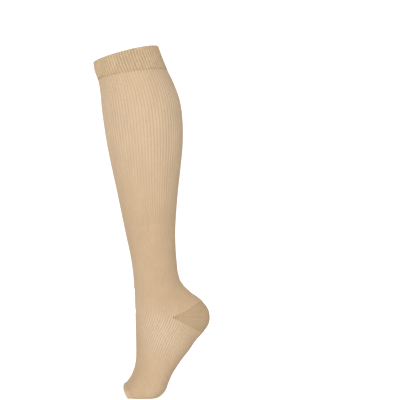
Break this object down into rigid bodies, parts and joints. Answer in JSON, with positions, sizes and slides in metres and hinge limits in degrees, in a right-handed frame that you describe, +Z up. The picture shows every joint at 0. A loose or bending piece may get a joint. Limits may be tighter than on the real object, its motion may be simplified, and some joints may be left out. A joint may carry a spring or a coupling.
{
  "type": "compression stocking",
  "caption": "Open-toe, knee-high ribbed compression stocking with a doubled top band and a plain heel pocket, hollow and in its worn form.",
  "frame": {"origin": "middle of the opening at the rim of the top band, where the leg that wears the stocking holds it up", "axes": "+Z up the leg towards the knee, -X towards the toes, Y across the leg"},
  "size_m": [0.1745, 0.1124, 0.5231],
  "materials": {
    "band_knit": "doubled rib knit, matt",
    "rib_knit": "elastic rib knit, soft sheen",
    "heel_knit": "plain knit, matt",
    "toe_knit": "plain knit edge, matt"
  },
  "bodies": {
    "root": {"top_band": "band_knit", "leg": "rib_knit", "heel": "heel_knit", "foot": "rib_knit", "toe_band": "toe_knit"}
  },
  "joints": []
}
